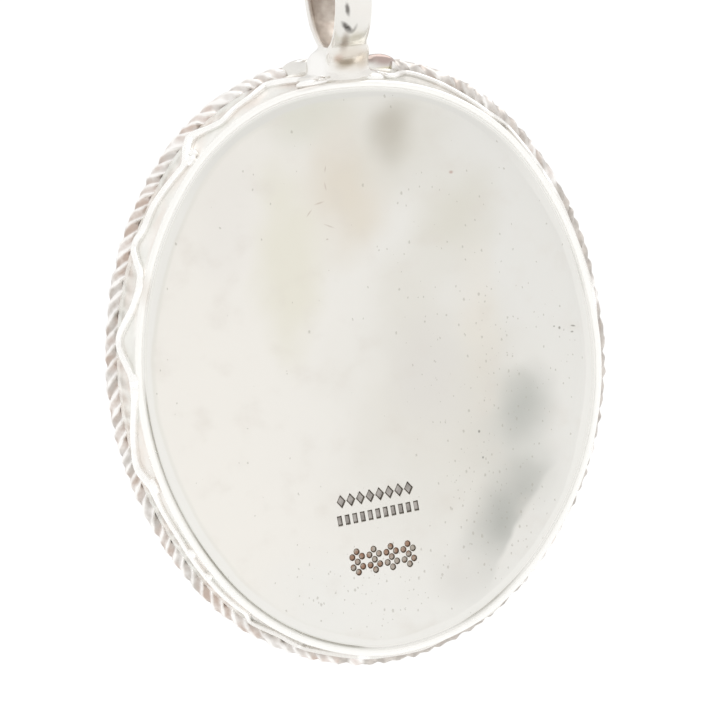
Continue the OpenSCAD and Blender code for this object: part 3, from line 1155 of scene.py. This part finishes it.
# Where the plate is pitted: bench place, reach in mm, share of the pits. Elsewhere FEW_PITS.
PITTED = [
    ((-7.3, 0.2), (7.0, 6.6), 0.4),
    ((0.6, -12.8), (6.2, 3.4), 0.6),
    ((-6.6, -8.5), (4.6, 6.4), 0.6),
    ((-4.5, 8.0), (6.0, 6.0), 0.14),
]
FEW_PITS = 0.035


def make_plate_pits(tree, place):
    """Small uneven pits, thick in some places and few in others."""
    density = FEW_PITS
    for (x, y), (wide, high), share in PITTED:
        reach = (wide * MM, DEEP * MM, high * MM)
        mask = use(tree, soft_spot, Centre=at(x, y), Reach=reach, Firm=0.3)["Mask"]
        density = calc(tree, "ADD", density, times(tree, mask, share))
    parts = split(tree, place)
    flat = add_node(tree, "ShaderNodeCombineXYZ", {"X": parts["X"], "Y": parts["Z"]}).outputs[0]
    ragged = vector(tree, "MULTIPLY", clouds(tree, flat, 9000.0, 1.0)["Color"], (0.0001, 0.0001, 0))
    flat = vector(tree, "ADD", flat, ragged)
    pits = 0.0
    for scale, size, turn in ((2500.0, 0.17, 35), (3400.0, 0.16, -20)):
        lane = add_node(tree, "ShaderNodeMapping", {
            "Vector": flat, "Rotation": (0, 0, radians(turn)), "Scale": (1.0, 0.62, 1.0)}).outputs[0]
        cells = add_node(
            tree, "ShaderNodeTexVoronoi", {"Vector": lane, "Scale": scale},
            voronoi_dimensions="2D").outputs
        lots = add_node(tree, "ShaderNodeSeparateColor", {"Color": cells["Color"]}).outputs
        reach = times(tree, calc(tree, "ADD", lots["Green"], 0.35), size)
        dot = spread(tree, calc(tree, "DIVIDE", cells["Distance"], reach), 0.4, 1.0, 1.0, 0.0)
        chosen = calc(tree, "LESS_THAN", lots["Red"], times(tree, density, 0.5))
        pits = calc(tree, "MAXIMUM", pits, times(tree, dot, chosen))
    return pits


def make_plate_material():
    material, tree, shader = new_silver("polished_back_silver")
    place = where(tree)
    parts = split(tree, place)
    drift = calc(tree, "SUBTRACT", clouds(tree, place, 150.0, 3.0)[0], 0.5)
    lane = calc(tree, "ADD", parts["X"], times(tree, drift, 0.006))
    # the plate's base tone, lighter towards one side, partly a painted reflection of the surroundings
    colour = mix_colour(tree, spread(tree, lane, -0.009, 0.011), tone(227, 226, 222), tone(236, 233, 227))
    # tarnish and painted reflections on the plate
    colour = lay_stains_and_shade(tree, colour, PLATE_STAINS_AND_REFLECTIONS, 0.9, 240.0)
    cloud = spread(tree, clouds(tree, place, 520.0, 4.0)[0], 0.5, 0.85, 0.0, 0.4)
    colour = mix_colour(tree, cloud, colour, tone(216, 210, 202))

    # the shoulder's tone, darker at the top as painted shade, its outer edge, and painted shade along the
    # crease inside it
    inset = calc(tree, "ADD", attribute(tree, "inset"), times(tree, drift, 0.7))
    top = spread(tree, parts["Z"], -0.0165, -0.0115)
    shoulder = mix_colour(tree, top, tone(234, 233, 229), tone(222, 221, 217))
    bevel = times(tree, spread(tree, inset, 0.95, 1.1, 1.0, 0.0), 0.85)
    colour = mix_colour(tree, bevel, colour, shoulder)
    edge = times(tree, spread(tree, attribute(tree, "inset"), 0.6, 0.68, 1.0, 0.0), 0.8)
    colour = mix_colour(tree, edge, colour, tone(232, 231, 226))
    # painted shade along the crease inside the shoulder
    crease_shade = times(tree, spread(tree, inset, 0.92, 1.06), spread(tree, inset, 1.08, 1.3, 1.0, 0.0))
    crease_shade = times(tree, crease_shade, attribute(tree, "crease_shade"))
    colour = mix_colour(tree, times(tree, crease_shade, 0.5), colour, tone(222, 221, 214))

    pits = make_plate_pits(tree, place)
    colour = mix_colour(tree, times(tree, pits, 0.5), colour, tone(172, 168, 158))
    colour = lay_stains_and_shade(tree, colour, PLATE_FLECKS, 0.5)

    # the punched marks: a dark wall round a grey floor, which is browner in the flowers
    struck = attribute(tree, "struck")
    patch = clouds(tree, place, 2300.0, 3.0)[0]
    rusty = mix_colour(tree, spread(tree, patch, 0.38, 0.62), tone(186, 178, 168), tone(168, 136, 116))
    greyed = mix_colour(tree, spread(tree, patch, 0.35, 0.65), tone(186, 181, 176), tone(160, 155, 150))
    floor = mix_colour(tree, spread(tree, parts["Z"], -0.0352, -0.0358), greyed, rusty)
    colour = mix_colour(tree, spread(tree, struck, 0.02, 0.5), colour, tone(128, 122, 113))
    colour = mix_colour(tree, spread(tree, struck, 0.75, 0.99), colour, floor)

    worn = use(tree, polish, Gloss=0.3, Drift=0.1, Scratches=0.5)
    roughness = calc(tree, "ADD", worn["Roughness"], times(tree, struck, 0.2))
    height = calc(tree, "SUBTRACT", worn["Height"], times(tree, pits, 0.5))
    lay_finish(tree, shader, colour, roughness, height, 0.25)
    return material


# Darker patches on the wall, mostly near the top
WALL_PATCHES = [
    ((2.6, 16.8, 1.6), (1.7, 6, 0.5), -8, 0.2, SOFT, (206, 195, 186), 0.75),
    ((8.93, 14.17, 2.5), (0.24, 6, 0.9), 48, 0.35, SOFT, (176, 170, 158), 0.9),
    ((5.1, 16.5, 2.5), (1.0, 6, 0.2), -30, 0.2, SOFT, (200, 188, 180), 0.7),
    ((12.9, 5.6, 1.5), (0.7, 6, 1.6), 0, 0.1, SOFT, (226, 218, 210), 0.6),
]


def make_wall_material():
    material, tree, shader = new_silver("aged_wall_silver", 0.6)
    past_edge = spread(tree, split(tree, where(tree))["Y"], 0.00136, 0.00112)
    stain = use(
        tree, tarnish, Silver=tone(250, 249, 246), Brown=tone(230, 219, 210), Grey=tone(226, 226, 220),
        Amount=times(tree, past_edge, 0.5), Patch_Size=600.0, Patchy=1.5)
    colour = mix_colour(tree, past_edge, tone(252, 251, 248), stain["Color"])
    colour = lay_stains_and_shade(tree, colour, WALL_PATCHES)
    # painted shade under the rim, on the wall past the back edge
    dark = times(tree, times(tree, attribute(tree, "shade_run"), past_edge), 0.8)
    colour = mix_colour(tree, dark, colour, tone(208, 204, 198))
    colour = mix_colour(tree, attribute(tree, "seam"), colour, tone(184, 182, 174))
    worn = use(tree, polish, Gloss=0.24, Drift=0.12, Scratches=0.3)
    lay_finish(tree, shader, colour, worn["Roughness"], worn["Height"], 0.3)
    return material


def make_wire_material():
    material, tree, shader = new_silver("bright_wire_silver", 0.8)
    stain = use(
        tree, tarnish, Silver=tone(254, 253, 251), Brown=tone(232, 224, 218), Grey=tone(234, 232, 228),
        Amount=-0.04, Patch_Size=1600.0)
    # painted shade where the wire runs under the rim
    dark = times(tree, attribute(tree, "shade_run"), 0.6)
    colour = mix_colour(tree, dark, stain["Color"], tone(222, 218, 212))
    worn = use(tree, polish, Gloss=0.26, Drift=0.1, Scratches=0.3)
    lay_finish(tree, shader, colour, worn["Roughness"], worn["Height"], 0.25)
    return material


def make_rim_material():
    material, tree, shader = new_silver("aged_rim_silver", 0.7)
    left = attribute(tree, "left_side")
    pocket = spread(tree, attribute(tree, "pocket"), 0.0, 1.0, -0.2, 0.8)
    stain = use(
        tree, tarnish, Silver=tone(254, 252, 250),
        Amount=calc(tree, "ADD", pocket, times(tree, left, 0.16)),
        Brown=mix_colour(tree, left, tone(212, 194, 184), tone(190, 172, 160)),
        Grey=mix_colour(tree, left, tone(214, 208, 203), tone(194, 188, 182)),
        Patch_Size=1150.0, Patchy=2.0)
    grain = spread(tree, clouds(tree, where(tree), 1500.0, 3.0)[0], 0.35, 0.65)
    # painted shade on the rim's back side, a little uneven
    back_shade_tone = mix_colour(tree, grain, tone(178, 171, 164), tone(210, 203, 196))
    colour = mix_colour(tree, times(tree, attribute(tree, "shade_run"), 0.95), stain["Color"], back_shade_tone)
    worn = use(tree, polish, Gloss=0.36, Drift=0.15, Scratches=0.2)
    lay_finish(tree, shader, colour, worn["Roughness"], worn["Height"], 0.4, COARSE)
    return material


def make_relief_material():
    material, tree, shader = new_silver("relief_front_silver")
    stain = use(
        tree, tarnish, Silver=tone(240, 238, 233), Brown=tone(120, 104, 94), Grey=tone(118, 114, 110),
        Amount=spread(tree, attribute(tree, "high"), 0.0, 1.0, 0.75, 0.02), Patch_Size=800.0)
    grain = times(tree, clouds(tree, where(tree), 2600.0, 2.0)[0], times(tree, stain["Mask"], 0.8))
    worn = use(tree, polish, Gloss=0.3, Drift=0.15, Scratches=0.4)
    roughness = calc(tree, "ADD", worn["Roughness"], times(tree, stain["Mask"], 0.2))
    height = calc(tree, "ADD", worn["Height"], grain)
    lay_finish(tree, shader, stain["Color"], roughness, height, 0.4, COARSE)
    return material


# Patches on the bail, mostly painted shade and reflections and partly tarnish: under the band, on its
# foot and on the pad's two lobes
BAIL_SHADE_AND_STAINS = [
    ((-0.2, 19.2, -1.0), (0.85, 3.0, 1.0), 0, 0.1, SOFT, (226, 222, 210), 0.85),
    ((0.4, 18.9, -1.0), (0.36, 3.0, 1.2), 0, 0.2, SOFT, (176, 165, 154), 0.85),
    ((-0.1, 18.1, 0.3), (1.5, 3.0, 1.1), 0, 0.3, 0.75, (222, 214, 203), 0.9),
    ((1.75, 17.7, 1.2), (0.8, 3.0, 1.5), 0, 0.3, SOFT, (252, 251, 249), 0.9),
    ((0.65, 18.12, 0.3), (0.42, 3.2, 0.4), 0, 0.1, SOFT, (210, 190, 178), 0.8),
    ((0.2, 17.74, 0.3), (0.8, 3.2, 0.42), -14, 0.2, SOFT, (194, 185, 172), 0.85),
    ((-0.8, 17.9, 0.3), (0.55, 3.0, 0.8), 0, 0.1, SOFT, (208, 197, 183), 0.8),
    ((-2.75, 17.75, 4.2), (1.3, 3.0, 0.75), 10, 0.3, SOFT, (182, 165, 159), 1.0),
    ((-1.9, 17.75, 4.2), (0.5, 3.0, 0.4), 10, 0.2, SOFT, (158, 141, 133), 0.8),
    ((-2.9, 17.05, 4.2), (1.1, 3.0, 0.24), 0, 0.2, SOFT, (216, 210, 182), 0.9),
    ((2.3, 17.9, 4.2), (1.2, 3.0, 0.6), 0, 0.1, SOFT, (226, 224, 221), 0.7),
]

# Two painted dark reflections on the band: a short upright one and a hook under it
BAND_REFLECTIONS = [
    ((0.37, 21.02, -2.4), (0.2, 1.6, 0.54), -8, 0.25, SOFT, (112, 108, 104), 0.9),
    ((0.32, 19.88, -2.4), (0.3, 1.6, 0.76), -43, 0.4, SOFT, (76, 72, 68), 1.0),
    ((-0.07, 19.8, -2.4), (0.19, 1.6, 0.5), 26, 0.25, SOFT, (116, 112, 108), 0.85),
]


def make_bail_material():
    material, tree, shader = new_silver("polished_bail_silver")
    place = where(tree)
    stain = use(
        tree, tarnish, Silver=tone(238, 236, 232), Brown=tone(212, 200, 188), Grey=tone(214, 212, 206),
        Amount=0.14, Patch_Size=420.0)
    # painted shade and reflections on the bail, with some tarnish
    colour = lay_stains_and_shade(tree, stain["Color"], BAIL_SHADE_AND_STAINS)
    # painted dark reflections on the band
    colour = lay_stains_and_shade(tree, colour, BAND_REFLECTIONS, 0.35)
    # the hole's inside: painted shade, lighter low down as painted light
    grain = spread(tree, clouds(tree, place, 620.0, 4.0)[0], 0.38, 0.62)
    inside = mix_colour(tree, grain, tone(160, 145, 132), tone(208, 197, 186))
    lit_low_in_hole = spread(tree, split(tree, place)["Z"], -0.0055, -0.0068, 0.0, 0.9)
    inside = mix_colour(tree, lit_low_in_hole, inside, tone(232, 222, 212))
    in_hole = attribute(tree, "in_hole")
    colour = mix_colour(tree, times(tree, in_hole, 0.92), colour, inside)
    feed(tree, shader.inputs["Metallic"], calc(tree, "SUBTRACT", 1.0, times(tree, in_hole, 0.4)))
    worn = use(tree, polish, Gloss=0.2, Drift=0.1, Scratches=0.6)
    lay_finish(tree, shader, colour, worn["Roughness"], worn["Height"], 0.25)
    return material


def dress(piece, material, slot, *nodes):
    """Hangs the piece, gives it its finish, sets it under the root and hides the parts that it stands in
    for.
    """
    stand_up(piece)
    piece.data.materials.clear()
    piece.data.materials.append(material)
    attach(piece, "root")
    if nodes:
        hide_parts(*nodes)


# Stage: a pale floor well below, soft light all round and the camera behind the pendant

# The camera's turn to the side, its rise and roll, its distance, and pixels per metre at the pendant
ALPHA = radians(10.7)
RISE = radians(6.7)
ROLL = radians(3.9)
AWAY = 0.3
PX = 17155.0
# Width of the picture, of the film, and how many pixels the pendant lies off the picture's middle
PICTURE = 720
FILM = 36
ASIDE = 11.1
BELOW = 7.7
# The pale floor's width and how far down it lies
FLOOR = 12
FLOOR_DOWN = -0.16


def make_camera():
    look = Vector((sin(ALPHA) * cos(RISE), cos(ALPHA) * cos(RISE), sin(RISE)))
    right = Vector((-cos(ALPHA), sin(ALPHA), 0))
    up = look.cross(right)
    cam_right = right * cos(ROLL) - up * sin(ROLL)
    cam_up = right * sin(ROLL) + up * cos(ROLL)
    middle = Vector(HANG)
    aim = middle - cam_right * (ASIDE / PX) + cam_up * (BELOW / PX)
    rest_hands()
    bpy.ops.object.camera_add()
    camera = bpy.context.object
    camera.name = "camera"
    turn = Matrix((cam_right, cam_up, look)).transposed().to_4x4()
    camera.matrix_world = Matrix.Translation(aim + look * AWAY) @ turn
    camera.data.sensor_width = FILM
    camera.data.lens = FILM * AWAY / (PICTURE / PX)
    camera.data.clip_start = 0.01
    camera.data.clip_end = 20
    bpy.context.scene.camera = camera


def make_studio_light():
    """Even white light all round, a darker room beyond the pendant's front, and one broad soft lamp."""
    world = bpy.data.worlds.new("studio")
    world.use_nodes = True
    tree = world.node_tree
    way = split(tree, add_node(tree, "ShaderNodeTexCoord").outputs["Generated"])
    room = times(tree, spread(tree, way["Y"], -0.95, -0.5, 1.0, 0.0), spread(tree, way["X"], 0.2, -0.1))
    background = tree.nodes["Background"]
    background.inputs["Color"].default_value = (1, 0.995, 0.985, 1)
    feed(tree, background.inputs["Strength"], spread(tree, room, 0.0, 1.0, 1.0, 0.8))
    bpy.context.scene.world = world
    rest_hands()
    bpy.ops.object.light_add(type="SUN", location=(0, 0, 1))
    lamp = bpy.context.object
    lamp.name = "soft_lamp"
    lamp.data.angle = radians(50)
    lamp.data.energy = 0.6
    lamp.rotation_euler = Vector((-0.45, -0.25, 1.0)).to_track_quat("Z", "Y").to_euler()


def make_stage():
    rest_hands()
    bpy.ops.mesh.primitive_plane_add(size=FLOOR, location=(0, 0, FLOOR_DOWN))
    floor = name_it("floor")
    fix_place(floor)
    material = bpy.data.materials.new("pale_floor")
    material.use_nodes = True
    shader = material.node_tree.nodes["Principled BSDF"]
    shader.inputs["Base Color"].default_value = (0.92, 0.92, 0.92, 1)
    shader.inputs["Roughness"].default_value = 0.8
    floor.data.materials.append(material)
    make_studio_light()
    bpy.context.scene.view_settings.view_transform = "Standard"


make_camera()
make_stage()

for make_piece, make_material, angle, slot, node in (
    (make_back_plate, make_plate_material, 40, "polished_back", "back_plate"),
    (make_bezel_wall, make_wall_material, 40, "aged_wall", "bezel_wall"),
    (make_wave_wire, make_wire_material, 50, "bright_wire", "wave_wire"),
    (make_toothed_rim, make_rim_material, 60, "aged_rim", "toothed_rim"),
):
    part = make_piece()
    shape_by_hand(part)
    smooth(part, angle)
    dress(part, make_material(), slot, node)

relief = make_relief_material()
dome = make_dome()
paint(dome, "high", lambda co: 0.9 if outside_by(co.x, co.y) > -BORDER_W + 0.01 else 0.15)
shape_by_hand(dome)
smooth(dome, 40)
dress(dome, relief, "relief_silver", "relief_plaque")
for ornament in (make_beads(), make_rosette(), make_wreath()):
    paint(ornament, "high", lambda co: 1.0)
    shape_by_hand(ornament)
    smooth(ornament, 60)
    dress(ornament, relief, "relief_silver")

bail = make_bail()
smooth(bail, 40)
dress(bail, make_bail_material(), "polished_bail", "bail")

rest_hands()
bpy.context.view_layer.update()
